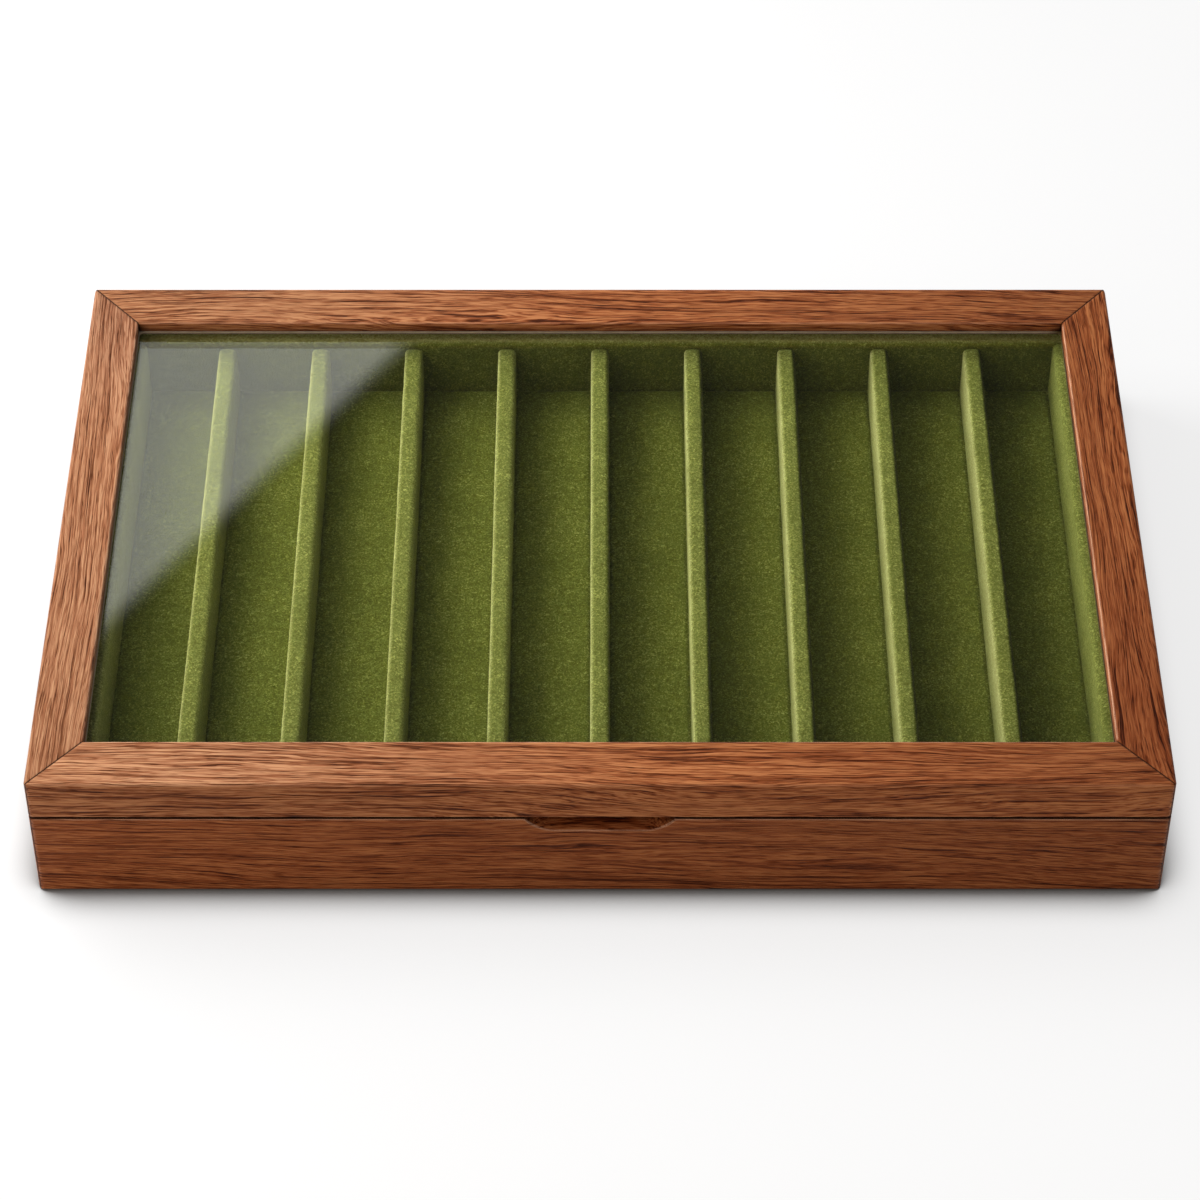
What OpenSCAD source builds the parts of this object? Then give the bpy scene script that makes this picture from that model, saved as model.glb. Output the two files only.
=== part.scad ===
// Flat walnut jewelry box: a case with ten velvet compartments under a hinged glass lid.
// X runs to the right, Y to the back and Z up. The origin is under the middle of the closed box.

/* [Box] */
// Width of the closed box
box_w = 360; // [260:1:420]
// Depth of the closed box
box_d = 240; // [180:1:300]
// Height of the closed box, feet included
box_h = 50; // [47:0.5:70]
// Thickness of the case walls
wall_t = 12; // [11:0.5:14]
// Rounding of the upright corners of case and lid
corner_r = 2.2; // [0.5:0.1:3]
// Rounding of the case's lower outer edge
base_edge_r = 0.9; // [0.4:0.1:3]
// Rounding of the two edges that meet at the seam
seam_edge_r = 0.4; // [0.2:0.1:1]
// Height of the shadow gap between case and lid
seam_gap = 0.9; // [0.2:0.1:1.2]
// How far the shadow gap runs in from the outer faces
seam_gap_in = 1.5; // [0.5:0.1:2.5]

/* [Lid] */
// Height of the lid frame
lid_h = 14.8; // [13:0.1:18]
// Width of the left and right rails, seen from above
side_rail_w = 17; // [15:0.1:25]
// Width of the front and back rails, seen from above
front_rail_w = 19; // [15:0.1:25]
// Rounding of the lid's upper outer edge
lid_edge_r = 1.2; // [0.4:0.1:3]
// Rounding of the rim round the glass
lip_edge_r = 0.7; // [0.2:0.1:1.2]
// Thickness of the lip above the glass
lip_h = 3.8; // [2.5:0.1:5]
// Thickness of the seal between lip and glass
seal_h = 0.8; // [0.5:0.1:2]
// How far the seal shows past the lip
seal_show = 0.25; // [0.1:0.05:1]
// Rounding of the seal's inner corners
seal_corner_r = 1.5; // [0.5:0.1:4]
// Thickness of the glass
glass_t = 3; // [2:0.5:4]
// Play round the glass in its rebate
glass_play = 1; // [0.5:0.1:1.5]
// Thickness of the beads that hold the glass from below
bead_h = 2; // [1.5:0.1:3]
// How far the beads stay back from the window, so that they don't show from above
bead_set = 3; // [0:0.1:5]
// Least width of a bead that lies under the glass
bead_hold = 1.5; // [1:0.1:2]
// Rounding of the bead's lower inner edge
bead_edge_r = 0.8; // [0.2:0.1:1.4]
// Radius of the headless brads through the beads
brad_r = 0.4; // [0.3:0.05:0.6]
// How deep a brad bites into the rail
brad_bite = 2.5; // [1.5:0.25:2.75]
// Brads in each long bead
brads_long = 4; // [2:1:8]
// Brads in each short bead
brads_short = 3; // [2:1:6]
// Distance from the first brad to the end of its bead
brad_end = 42; // [20:1:60]

/* [Lining] */
// Thickness of the padded boards that line the walls
lining_t = 7.5; // [5:0.1:12]
// Rounding of the lining's upper inner edge
lining_in_r = 2.2; // [0.5:0.1:3]
// Rounding of the lining's upper outer edge
lining_out_r = 1.2; // [0.5:0.1:2]
// Space between the lining's rim and the glazing beads
rim_gap = 0.6; // [0.3:0.1:2]
// Number of dividers
divider_n = 9; // [2:1:12]
// Thickness of a divider
divider_t = 6.3; // [4:0.1:10]
// How much narrower the two end compartments are
end_less = 1.35; // [0:0.05:3]
// Height of a divider above the floor
divider_h = 20; // [12:0.5:24]
// Rounding of a divider's upper edges
divider_r = 1.5; // [0.5:0.1:1.9]
// How far the dividers stay below the lining's rim
rim_rise = 2.3; // [1:0.1:5]
// Thickness of the velvet pad on the floor
pad_t = 1.2; // [0.6:0.1:3]
// Thickness of the board under the pad
board_t = 2.5; // [1.5:0.1:4]
// Play round the board and the foam between the walls
board_play = 0.3; // [0.1:0.1:1]

/* [Bottom] */
// Thickness of the felt feet
foot_h = 0.5; // [0.4:0.1:3]
// Radius of the felt feet
foot_r = 4.8; // [3:0.1:4.8]
// Distance from the case's outer faces to the middle of a foot
foot_inset = 6.6; // [6.6:0.1:30]
// Thickness of the plywood bottom
panel_t = 4; // [3:0.5:5]
// Height of the wall's edge below the bottom
panel_rise = 3.2; // [2:0.1:5]
// Depth of the groove that holds the bottom
groove_d = 5; // [3:0.5:7]
// Play of the bottom in its groove
groove_play = 0.3; // [0.1:0.1:0.8]

/* [Finger notch] */
// Width of the notch at the case's rim
notch_w = 50; // [30:1:80]
// Depth of the notch below the rim
notch_h = 6.1; // [4:0.1:7]
// Length of the curved run at each end
notch_run = 11; // [8.5:0.25:14]
// Radius by which each end turns over into the rim
notch_top_r = 1.2; // [0.6:0.1:2]
// How far the notch is cut into the wall
notch_in = 7; // [4.5:0.5:9]

/* [Hinges] */
// Distance from the end of the box to the middle of a hinge
hinge_inset = 70; // [40:1:100]
// Width of a hinge
hinge_w = 30; // [24:1:40]
// Width of the middle knuckle
mid_knuckle = 12; // [8:1:16]
// Gap between two knuckles
knuckle_gap = 0.2; // [0.1:0.05:0.5]
// Radius of the barrel
barrel_r = 2.2; // [1.9:0.1:2.6]
// Radius of the hinge pin
pin_r = 0.9; // [0.6:0.05:1.2]
// Running play between pin and knuckles
pin_play = 0.05; // [0.03:0.01:0.1]
// Thickness of a leaf
leaf_t = 1; // [0.8:0.1:1.2]
// Gap between a leaf and the plane of the seam
leaf_gap = 0.1; // [0.05:0.05:0.2]
// Wood left between a leaf's end and the inside of the lid's rail
leaf_margin = 1.5; // [1:0.1:1.9]
// Size of the chamfers that make room for the barrel at the back
back_chamfer = 3; // [2.9:0.1:3.6]
// How far the hinge axis lies behind the inner edge of the chamfers
axis_back = 0.25; // [0.2:0.01:0.3]
// Play round the barrel and the leaves in the wood
hinge_play = 0.3; // [0.2:0.05:0.4]
// Distance from the middle of a hinge to its screws
screw_x = 9; // [7.5:0.5:10]
// Radius of a screw's shank
screw_r = 0.8; // [0.6:0.05:0.9]
// Radius of a screw's head
screw_head_r = 1.5; // [1.2:0.05:1.6]
// Length of a screw
screw_len = 7; // [5:0.5:8]

/* [Fits] */
// Play between the lining and the lid's rails as the lid swings
swing_gap = 0.5; // [0.4:0.05:1]
// Radial play of a fastener in its hole
hole_play = 0.05; // [0.03:0.01:0.1]

/* [Hidden] */
$fn = 48;
over = 1;

case_top = box_h - lid_h;
lip_z = box_h - lip_h;
seal_z = lip_z - seal_h;
glass_z = seal_z - glass_t;
bead_z = glass_z - bead_h;
lining_top = bead_z - rim_gap;
divider_top = lining_top - rim_rise;
floor_z = divider_top - divider_h;
pad_z = floor_z - pad_t;
board_z = pad_z - board_t;
panel_z = foot_h + panel_rise;
foam_z = panel_z + panel_t;

inner_w = box_w - 2 * wall_t;
inner_d = box_d - 2 * wall_t;
clear_w = inner_w - 2 * lining_t;
clear_d = inner_d - 2 * lining_t;
cell_w = (clear_w - divider_n * divider_t + 2 * end_less) / (divider_n + 1);
divider_pitch = cell_w + divider_t;

leg_t = wall_t - swing_gap;
rebate_w = box_w - 2 * leg_t;
rebate_d = box_d - 2 * leg_t;
side_bead_w = max(side_rail_w - leg_t - bead_set, glass_play + bead_hold);
front_bead_w = max(front_rail_w - leg_t - bead_set, glass_play + bead_hold);

hinge_x = box_w / 2 - hinge_inset;
axis_y = box_d / 2 - back_chamfer + axis_back;
bore_r = pin_r + pin_play;
recess_r = barrel_r + hinge_play;
leaf_reach = leg_t - back_chamfer + axis_back - leaf_margin;
screw_y = -(leaf_reach + recess_r) / 2;
side_knuckle = (hinge_w - mid_knuckle) / 2 - knuckle_gap;
side_knuckle_x = (hinge_w - side_knuckle) / 2;
screw_head_h = screw_head_r - screw_r;
slot_w = 0.45;
slot_h = 0.3;

walnut = "#7d4a2b";
velvet = "#5b6128";
brass = "#b8955a";
ply = "#c49a68";

// What rounding an edge takes away, for a corner at [0, 0] with its wood towards +X and +Y.
module ease(r) {
    difference() {
        translate([-over, -over]) square(r + over);
        translate([r, r]) circle(r);
    }
}

module rounded_plan(w, d, r) {
    square([w - 2 * r, d], center = true);
    square([w, d - 2 * r], center = true);
    for (x = [-1, 1], y = [-1, 1])
        translate([x * (w / 2 - r), y * (d / 2 - r)]) circle(r);
}

// Draws a profile along one side of a w by d frame. The profile's X runs inwards from the frame's
// outer face, and its Y is up. Turn 0 is the front, 90 the right, 180 the back and 270 the left.
module along(w, d, turn) {
    across = turn % 180 == 0;
    len = across ? w : d;
    half = across ? d / 2 : w / 2;
    rotate([0, 0, turn]) translate([-len / 2, -half, 0]) rotate([90, 0, 90]) linear_extrude(len) children();
}

// The plan of that side, with ends that slant run along it by the time they are rise into it.
module mitred(w, d, turn, run, rise) {
    across = turn % 180 == 0;
    len = across ? w : d;
    half = across ? d / 2 : w / 2;
    rotate([0, 0, turn]) polygon([
        [-len / 2, -half],
        [len / 2, -half],
        [len / 2 - run, rise - half],
        [run - len / 2, rise - half]
    ]);
}

module walls_outline() {
    linear_extrude(box_h) rounded_plan(box_w, box_d, corner_r);
}

// Cross-section of a case wall.
module wall_profile() {
    difference() {
        translate([0, foot_h]) square([wall_t, case_top - foot_h]);
        translate([0, foot_h]) ease(base_edge_r);
        translate([-over, case_top - seam_gap]) square([seam_gap_in + over, seam_gap + over]);
        translate([0, case_top - seam_gap]) mirror([0, 1]) ease(seam_edge_r);
        translate([wall_t - groove_d, panel_z]) square([groove_d + over, panel_t + groove_play]);
    }
}

// Cross-section of a lid rail: a leg that stands on the case, and a lip that covers the glass.
module rail_profile(rail_w) {
    difference() {
        translate([0, case_top]) square([rail_w, lid_h]);
        translate([leg_t, case_top - over]) square([rail_w, lip_z - case_top + over]);
        translate([0, box_h]) mirror([0, 1]) ease(lid_edge_r);
        translate([rail_w, box_h]) rotate(180) ease(lip_edge_r);
        translate([0, case_top]) ease(seam_edge_r);
    }
}

// The V along the back, half in the case and half in the lid, that leaves the barrels room and
// lets the lid swing past upright.
module back_groove() {
    along(box_w + 2 * over, box_d, 180) polygon([
        [-over, case_top - back_chamfer - over],
        [back_chamfer, case_top],
        [-over, case_top + back_chamfer + over]
    ]);
}

module wall_blank(turn) {
    difference() {
        intersection() {
            along(box_w, box_d, turn) wall_profile();
            linear_extrude(box_h) mitred(box_w, box_d, turn, wall_t, wall_t);
            walls_outline();
        }
        if (turn != 0) back_groove();
    }
}

module rail_blank(turn) {
    across = turn % 180 == 0;
    rise = across ? front_rail_w : side_rail_w;
    run = across ? side_rail_w : front_rail_w;
    difference() {
        intersection() {
            along(box_w, box_d, turn) rail_profile(rise);
            linear_extrude(box_h) mitred(box_w, box_d, turn, run, rise);
            walls_outline();
        }
        if (turn != 0) back_groove();
    }
}

// The finger notch, seen from the front with its flat bottom at [0, 0]. Each end rises in a wide
// hollow arc and turns over into the rim by a small round one.
module notch_outline() {
    flat = notch_w / 2 - notch_run;
    both_r = (pow(notch_run, 2) + pow(notch_h, 2)) / (2 * notch_h);
    hollow_r = both_r - notch_top_r;
    join_x = flat + notch_run * hollow_r / both_r;
    join_z = notch_h * hollow_r / both_r;
    intersection() {
        union() {
            translate([-flat, 0]) square([2 * flat, notch_h + over]);
            for (side = [-1, 1]) translate([side * flat, hollow_r]) circle(hollow_r);
        }
        translate([-join_x, 0]) square([2 * join_x, notch_h + over]);
    }
    for (side = [0, 1]) mirror([side, 0]) difference() {
        translate([join_x, join_z]) square([notch_w / 2 - join_x, notch_h - join_z + over]);
        translate([notch_w / 2, notch_h - notch_top_r]) circle(notch_top_r);
    }
}

module finger_notch() {
    translate([0, notch_in - box_d / 2, case_top - notch_h])
        rotate([90, 0, 0]) linear_extrude(notch_in + over) notch_outline();
}

module at_hinges() {
    for (side = [-1, 1]) translate([side * hinge_x, axis_y, case_top]) children();
}

module along_x(r, len) {
    rotate([0, 90, 0]) cylinder(h = len, r = r, center = true);
}

// What a hinge takes out of the wood below the seam: the barrel's bed, the leaf's mortise and the
// screws' pilot holes.
module hinge_bed() {
    along_x(recess_r, hinge_w + 2 * hinge_play);
    translate([-hinge_w / 2 - hinge_play, -leaf_reach - hinge_play, -leaf_gap - leaf_t])
        cube([hinge_w + 2 * hinge_play, leaf_reach + hinge_play, leaf_t + leaf_gap + over]);
    for (x = [-screw_x, screw_x])
        translate([x, screw_y, -screw_len - over]) cylinder(h = screw_len, r = screw_r + hole_play);
}

module knuckle(width) {
    strip = recess_r - bore_r;
    along_x(barrel_r, width);
    translate([-width / 2, -recess_r, -leaf_gap - leaf_t]) cube([width, strip, leaf_t]);
}

// One leaf with its knuckles, below the seam, with the hinge axis along X through [0, 0, 0].
module hinge_leaf(places, width) {
    color(brass) difference() {
        union() {
            translate([-hinge_w / 2, -leaf_reach, -leaf_gap - leaf_t])
                cube([hinge_w, leaf_reach - recess_r, leaf_t]);
            for (x = places) translate([x, 0, 0]) knuckle(width);
        }
        along_x(bore_r, hinge_w + 2 * over);
        for (x = [-screw_x, screw_x]) translate([x, screw_y, -leaf_gap]) {
            translate([0, 0, -leaf_t - over]) cylinder(h = leaf_t + 2 * over, r = screw_r + hole_play);
            translate([0, 0, -screw_head_h])
                cylinder(h = screw_head_h, r1 = screw_r + hole_play, r2 = screw_head_r + hole_play);
        }
    }
}

module case_leaf() {
    hinge_leaf([-side_knuckle_x, side_knuckle_x], side_knuckle);
}

module lid_leaf() {
    mirror([0, 0, 1]) hinge_leaf([0], mid_knuckle);
}

module hinge_pin() {
    color(brass) along_x(pin_r, hinge_w);
}

// Two slotted countersunk screws, below the seam.
module hinge_screws() {
    color(brass) for (x = [-screw_x, screw_x]) translate([x, screw_y, -leaf_gap]) difference() {
        union() {
            translate([0, 0, -screw_len]) cylinder(h = screw_len - screw_head_h, r = screw_r);
            translate([0, 0, -screw_head_h]) cylinder(h = screw_head_h, r1 = screw_r, r2 = screw_head_r);
        }
        translate([-screw_head_r - over, -slot_w / 2, -slot_h])
            cube([2 * (screw_head_r + over), slot_w, slot_h + over]);
    }
}

module case_side_wall(turn) {
    color(walnut) wall_blank(turn);
}

module case_front_wall() {
    color(walnut) difference() {
        wall_blank(0);
        finger_notch();
    }
}

module case_back_wall() {
    color(walnut) difference() {
        wall_blank(180);
        at_hinges() hinge_bed();
    }
}

module bottom_panel() {
    reach = groove_d - groove_play;
    color(ply) translate([-inner_w / 2 - reach, -inner_d / 2 - reach, panel_z])
        cube([inner_w + 2 * reach, inner_d + 2 * reach, panel_t]);
}

module foot_pads() {
    color("#3b2f27") for (x = [-1, 1], y = [-1, 1])
        translate([x * (box_w / 2 - foot_inset), y * (box_d / 2 - foot_inset), 0])
            cylinder(h = foot_h, r = foot_r);
}

module slab(w, d, z, h) {
    translate([-w / 2, -d / 2, z]) cube([w, d, h]);
}

module foam_bed() {
    color("#d8d2bd") slab(inner_w - 2 * board_play, inner_d - 2 * board_play, foam_z, board_z - foam_z);
}

module insert_board() {
    color("#8b8579") slab(inner_w - 2 * board_play, inner_d - 2 * board_play, board_z, board_t);
}

module floor_pad() {
    color(velvet) slab(clear_w, clear_d, pad_z, pad_t);
}

// Cross-section of a padded lining board, with its outer face at X = 0.
module lining_profile() {
    difference() {
        translate([0, pad_z]) square([lining_t, lining_top - pad_z]);
        translate([0, lining_top]) mirror([0, 1]) ease(lining_out_r);
        translate([lining_t, lining_top]) rotate(180) ease(lining_in_r);
    }
}

// The front and back linings run from wall to wall, and the side linings fit between them.
module lining(turn) {
    across = turn % 180 == 0;
    color(velvet) intersection() {
        along(inner_w, inner_d, turn) lining_profile();
        slab(inner_w, across ? inner_d : clear_d, 0, box_h);
    }
}

module divider(i) {
    color(velvet) translate([(i - (divider_n + 1) / 2) * divider_pitch, -clear_d / 2, floor_z])
        rotate([90, 0, 180]) linear_extrude(clear_d) difference() {
            translate([-divider_t / 2, 0]) square([divider_t, divider_h]);
            for (side = [0, 1]) mirror([side, 0])
                translate([divider_t / 2, divider_h]) rotate(180) ease(divider_r);
        }
}

// Places a brad at each of n points along a bead that lies on the turn side of the rebate.
module at_brads(turn) {
    across = turn % 180 == 0;
    len = across ? rebate_w : rebate_d;
    half = (across ? rebate_d : rebate_w) / 2;
    n = across ? brads_long : brads_short;
    step = (len - 2 * brad_end) / (n - 1);
    for (i = [0:n - 1]) rotate([0, 0, turn])
        translate([brad_end - len / 2 + i * step, -half, bead_z + bead_h / 2]) children();
}

// A brad or its hole, driven from the bead's inner edge outwards into the rail.
module brad(bead_w, r) {
    translate([0, bead_w, 0]) rotate([90, 0, 0]) cylinder(h = bead_w + brad_bite, r = r);
}

module brads(turn, play) {
    bead_w = turn % 180 == 0 ? front_bead_w : side_bead_w;
    at_brads(turn) brad(bead_w, brad_r + play);
}

module lid_rail(turn) {
    color(walnut) difference() {
        rail_blank(turn);
        brads(turn, hole_play);
        if (turn == 180) at_hinges() mirror([0, 0, 1]) hinge_bed();
    }
}

module bead_profile(bead_w) {
    difference() {
        translate([0, bead_z]) square([bead_w, bead_h]);
        translate([bead_w, bead_z]) mirror([1, 0]) ease(bead_edge_r);
    }
}

module glazing_bead(turn) {
    across = turn % 180 == 0;
    rise = across ? front_bead_w : side_bead_w;
    run = across ? side_bead_w : front_bead_w;
    color(walnut) difference() {
        intersection() {
            along(rebate_w, rebate_d, turn) bead_profile(rise);
            linear_extrude(box_h) mitred(rebate_w, rebate_d, turn, run, rise);
        }
        brads(turn, hole_play);
    }
}

module glass_panel() {
    color("#dfe8e4", 0.35) slab(rebate_w - 2 * glass_play, rebate_d - 2 * glass_play, glass_z, glass_t);
}

module glazing_seal() {
    window_w = box_w - 2 * side_rail_w - 2 * seal_show;
    window_d = box_d - 2 * front_rail_w - 2 * seal_show;
    color("#8a8a84") translate([0, 0, seal_z]) linear_extrude(seal_h) difference() {
        square([rebate_w - 2 * glass_play, rebate_d - 2 * glass_play], center = true);
        rounded_plan(window_w, window_d, seal_corner_r);
    }
}

module glazing_brads() {
    color(brass) for (turn = [0, 90, 180, 270]) brads(turn, 0);
}

module left_hinge() {
    translate([-hinge_x, axis_y, case_top]) children();
}

module right_hinge() {
    translate([hinge_x, axis_y, case_top]) children();
}

case_front_wall();
case_back_wall();
case_side_wall(270);  // case_left_wall
case_side_wall(90);  // case_right_wall
bottom_panel();
foot_pads();
foam_bed();
insert_board();
floor_pad();
lining(0);  // lining_front
lining(180);  // lining_back
lining(270);  // lining_left
lining(90);  // lining_right
for (i = [1:divider_n]) divider(i);
left_hinge() case_leaf();  // hinge_left_case_leaf
right_hinge() case_leaf();  // hinge_right_case_leaf
left_hinge() hinge_pin();  // hinge_left_pin
right_hinge() hinge_pin();  // hinge_right_pin
at_hinges() hinge_screws();  // case_hinge_screws
lid_rail(0);  // lid_front_rail
lid_rail(180);  // lid_back_rail
lid_rail(270);  // lid_left_rail
lid_rail(90);  // lid_right_rail
glass_panel();
glazing_seal();
glazing_bead(0);  // glazing_bead_front
glazing_bead(180);  // glazing_bead_back
glazing_bead(270);  // glazing_bead_left
glazing_bead(90);  // glazing_bead_right
glazing_brads();
left_hinge() lid_leaf();  // hinge_left_lid_leaf
right_hinge() lid_leaf();  // hinge_right_lid_leaf
at_hinges() mirror([0, 0, 1]) hinge_screws();  // lid_hinge_screws
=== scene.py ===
# %% [markdown]
# # A glass-topped jewelry box
# The box is walnut with a glazed lid and a tray of velvet compartments. The measured solids come
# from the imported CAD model, so every wooden, glass and brass part already has its true shape and
# place. This lesson gives those parts their finishes, rebuilds the soft velvet parts as meshes with
# crowned, rounded forms, and sets the camera and the light.
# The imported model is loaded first. All positions below are in metres in its own frame, with X along
# the box, Y from front to back and Z up.

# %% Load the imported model
import math

import bmesh
import bpy
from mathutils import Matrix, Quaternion, Vector, noise


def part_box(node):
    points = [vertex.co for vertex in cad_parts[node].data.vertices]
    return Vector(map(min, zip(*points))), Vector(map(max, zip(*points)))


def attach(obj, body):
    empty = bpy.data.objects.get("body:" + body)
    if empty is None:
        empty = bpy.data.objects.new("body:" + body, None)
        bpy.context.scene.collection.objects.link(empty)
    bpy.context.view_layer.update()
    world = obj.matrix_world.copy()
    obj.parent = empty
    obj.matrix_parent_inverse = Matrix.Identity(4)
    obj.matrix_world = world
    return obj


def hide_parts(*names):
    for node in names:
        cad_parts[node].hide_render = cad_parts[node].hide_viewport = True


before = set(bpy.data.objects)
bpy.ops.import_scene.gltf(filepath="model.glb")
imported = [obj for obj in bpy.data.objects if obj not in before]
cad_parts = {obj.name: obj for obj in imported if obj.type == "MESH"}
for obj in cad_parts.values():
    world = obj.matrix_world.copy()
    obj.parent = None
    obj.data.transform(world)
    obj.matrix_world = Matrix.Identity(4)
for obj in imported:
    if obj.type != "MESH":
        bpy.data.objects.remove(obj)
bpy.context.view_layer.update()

MM = 0.001
TO_MM = (1 / MM, 1 / MM, 1 / MM)

# %% [markdown]
# ## The camera
# The photograph looks down at the box from the front with a long lens, so the sides converge only a
# little. A camera can be set by eye, but here the four top corners of the lid and the front edges
# fix its place, its tilt and its focal length. They were solved from those corners and are given as
# plain numbers.

# %% Camera
CAMERA_PLACE = (0.0, -0.9201, 0.9247)
CAMERA_TILT = math.radians(90 - 44.752)
FOCAL_LENGTH = 113.98
SENSOR_WIDTH = 36

camera = bpy.data.objects.new("camera", bpy.data.cameras.new("camera"))
camera.data.sensor_width = SENSOR_WIDTH
camera.data.lens = FOCAL_LENGTH
camera.location = CAMERA_PLACE
camera.rotation_euler = (CAMERA_TILT, 0, 0)
bpy.context.scene.collection.objects.link(camera)
bpy.context.scene.camera = camera
print("camera:", CAMERA_PLACE, "lens", FOCAL_LENGTH, "mm")

# %% [markdown]
# ## Helpers for materials
# Colours are written as the hex values that a picture editor shows. Shaders work with linear light,
# so one function turns the first into the second. Another adds a node with its settings and links,
# which keeps each finish readable as a list of steps. Finishes could be drawn in the shader editor
# too, but a list is easier to read through and to change. Two short helpers start a material and
# put it on the parts.

# %% Colour and node helpers
def linear(code):
    """An sRGB hex colour as linear red, green, blue and alpha."""
    parts = [int(code[i:i + 2], 16) / 255 for i in (1, 3, 5)]
    return tuple(c / 12.92 if c <= 0.04045 else ((c + 0.055) / 1.055) ** 2.4 for c in parts) + (1.0,)


def add(tree, kind, inputs=None, stops=(), **settings):
    """Adds a shader node. An input takes a value, a socket, or a node, meaning its first output."""
    node = tree.nodes.new("ShaderNode" + kind)
    for name, value in settings.items():
        setattr(node, name, value)
    for key, value in (inputs or {}).items():
        named = [s for s in node.inputs if s.enabled and s.name == key]
        socket = named[0] if named else node.inputs[key]
        if isinstance(value, bpy.types.Node):
            value = next(s for s in value.outputs if s.enabled)
        if isinstance(value, bpy.types.NodeSocket):
            tree.links.new(value, socket)
        else:
            socket.default_value = value
    for i, (place, colour) in enumerate(stops):
        ramp = node.color_ramp.elements
        stop = ramp[i] if i < 2 else ramp.new(place)
        stop.position = place
        stop.color = linear(colour)
    return node


def finish_named(name):
    """A new material with an empty node tree."""
    material = bpy.data.materials.new(name)
    material.use_nodes = True
    material.node_tree.nodes.clear()
    return material, material.node_tree


def dress(nodes, material):
    """Gives CAD nodes a finish."""
    for name in nodes:
        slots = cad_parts[name].data.materials
        slots.clear()
        slots.append(material)


print("sRGB #808080 is linear", round(linear("#808080")[0], 4))

# %% [markdown]
# ## Light and background
# The photograph was taken on a white sweep under a large soft light, to the left and a little behind
# the box. The tops of the boards fall from bright at the left to half as bright at the right, which
# says that the light is close. A weak, wide, warm light from the front left opens the front faces,
# and a dim room does the rest. The pane is as flat as a mirror and would show each lamp as a hard
# white square from some sides, so gloss doesn't see the lamps. It sees the room and the reflector.

# %% Softboxes
AIM = Vector((0.0, 0.0, 0.03))


def softbox(name, place, size, power, colour="#FFFFFF"):
    """A square area lamp that faces the box: its place and side in metres, its power in watts."""
    lamp = bpy.data.lights.new(name, "AREA")
    lamp.size = size
    lamp.energy = power
    lamp.color = linear(colour)[:3]
    obj = bpy.data.objects.new(name, lamp)
    obj.location = place
    obj.rotation_euler = (AIM - Vector(place)).to_track_quat("-Z", "Y").to_euler()
    obj.visible_glossy = False
    bpy.context.scene.collection.objects.link(obj)
    return obj


key_light = softbox("key_softbox", (-0.48, 0.22, 0.42), 0.52, 6.1)
fill_light = softbox("front_fill", (-0.58, -1.12, 0.85), 1.0, 4.15, "#FFEAD4")
print("lamps:", key_light.data.energy, fill_light.data.energy, "W")

# %% [markdown]
# The world is white where the camera sees it. A picture of a studio could stand here, but a few
# heights and greys are enough for a box on white paper. Glass and polished faces see a pale horizon
# and a dim ceiling, so the glass stays clear except where a light is mirrored in it. Everything matt
# sees a grey room that is paler overhead.

# %% World
world = bpy.data.worlds.new("studio_room")
world.use_nodes = True
bpy.context.scene.world = world
room = world.node_tree
room.nodes.clear()
ROOM_GREY = 0.22
OVERHEAD = 0.50
CEILING = 0.04
HORIZON_TO_CEILING = (0.06, 0.28)
GREY_TO_OVERHEAD = (0.1, 0.9)

rays = add(room, "LightPath")
sky = add(room, "TexCoord")
height = add(room, "SeparateXYZ", {0: sky.outputs["Generated"]})
start, end = HORIZON_TO_CEILING
studio = add(room, "MapRange", {"Value": height.outputs["Z"], "From Min": start, "From Max": end,
                                "To Min": 1.0, "To Max": CEILING}, interpolation_type="SMOOTHSTEP")
mirrored = add(room, "Math", {0: rays.outputs["Is Glossy Ray"], 1: rays.outputs["Is Transmission Ray"]},
               operation="MAXIMUM")
start, end = GREY_TO_OVERHEAD
soft_room = add(room, "MapRange", {"Value": height.outputs["Z"], "From Min": start, "From Max": end,
                                   "To Min": ROOM_GREY, "To Max": OVERHEAD})
matt_or_gloss = add(room, "Mix", {"Factor": mirrored, "A": soft_room, "B": studio}, data_type="FLOAT")
strength = add(room, "Mix", {"Factor": rays.outputs["Is Camera Ray"], "A": matt_or_gloss, "B": 1.0},
               data_type="FLOAT")
background = add(room, "Background", {"Color": linear("#FFFFFF"), "Strength": strength})
add(room, "OutputWorld", {"Surface": background})
bpy.context.scene.view_settings.view_transform = "Standard"
print("room:", ROOM_GREY, "overhead:", OVERHEAD, "mirrored ceiling:", CEILING)

# %% [markdown]
# A softly edged panel of light is mirrored in the back left of the glass in the photograph. It is a
# reflector that stands far behind the box. Only gloss sees it, because its light on the box is
# already in the key light. A glowing sheet is used and not a lamp, because a sheet can fade out
# along one edge as the one in the photograph does.

# %% Mirrored reflector
PANEL_PLACE = Vector((-0.25, 1.25, 1.12))
PANEL_LENGTH = 1.4
PANEL_DEPTH = 1.0
PANEL_LIP = 0.045
PANEL_LEAN = math.radians(-35.5)
PANEL_GLOW = 1.84
PANEL_FADE = (0.042, 0.016)

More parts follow.
